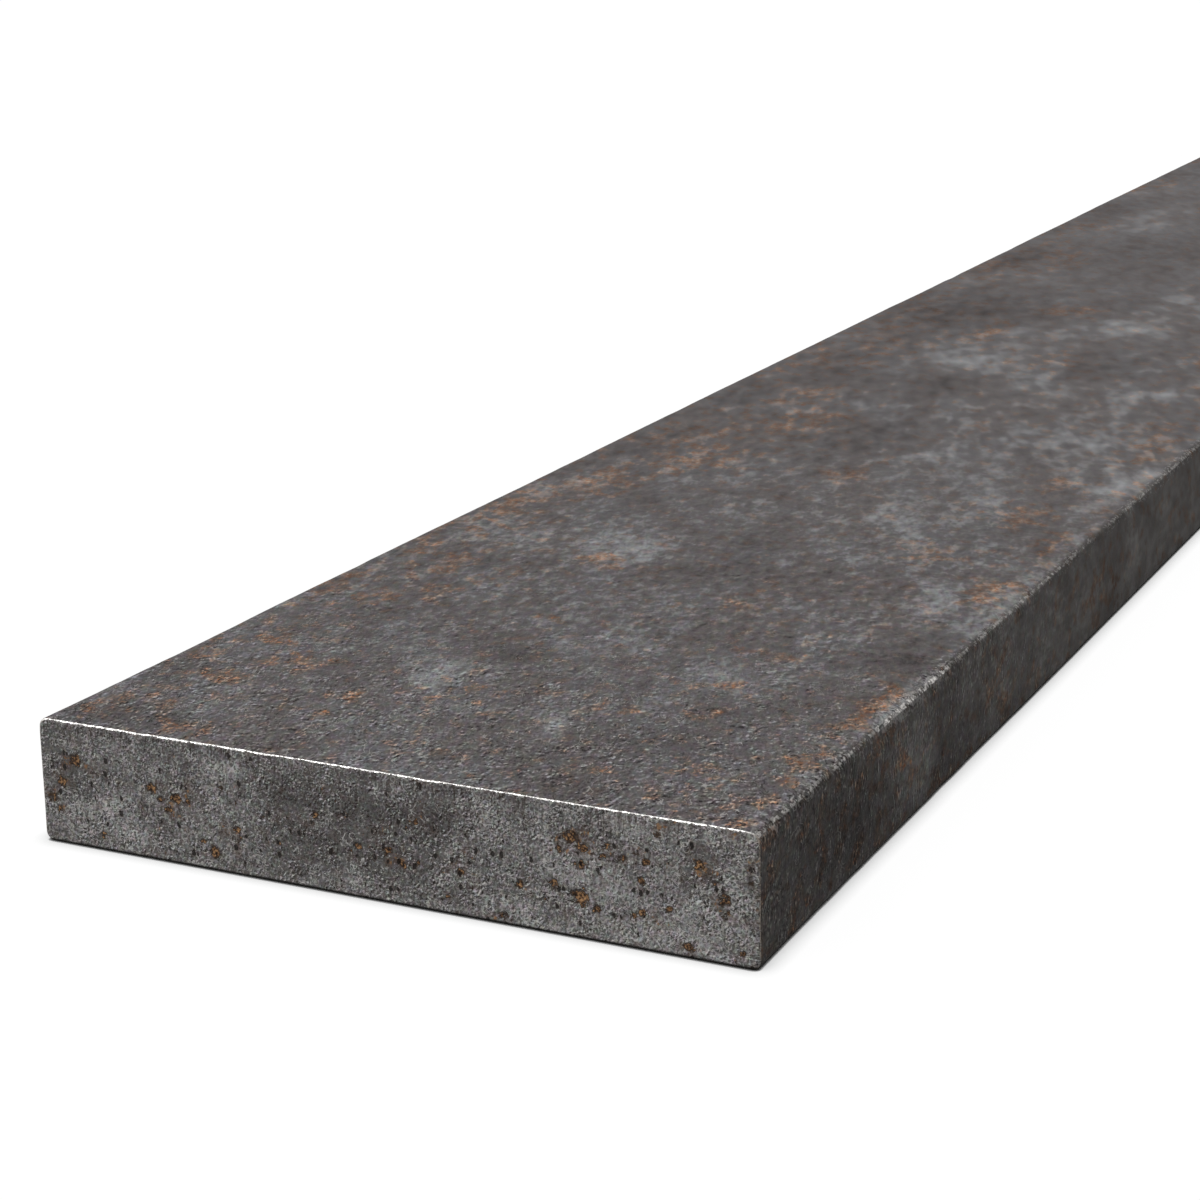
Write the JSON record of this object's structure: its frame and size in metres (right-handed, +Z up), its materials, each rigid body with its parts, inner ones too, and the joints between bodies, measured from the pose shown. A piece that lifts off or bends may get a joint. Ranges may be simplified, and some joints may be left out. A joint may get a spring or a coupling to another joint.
{
  "type": "metal flat bar",
  "caption": "Straight hot-rolled steel flat bar of rectangular section with softened rolled corners and square-cut ends, stock for cutting, drilling and welding.",
  "frame": {"origin": "on the underside, halfway along the bar and halfway across its width", "axes": "+Y along the bar, away from the cut end that is seen first; +X across its width; +Z up through its thickness, with the wide underside on Z 0"},
  "size_m": [0.06, 1, 0.01],
  "materials": {
    "hot_rolled_steel": "dull dark mill scale with light rust freckles, cut ends the same dull grey, edges worn bright"
  },
  "bodies": {
    "root": {"flat_bar": "hot_rolled_steel"}
  },
  "joints": []
}
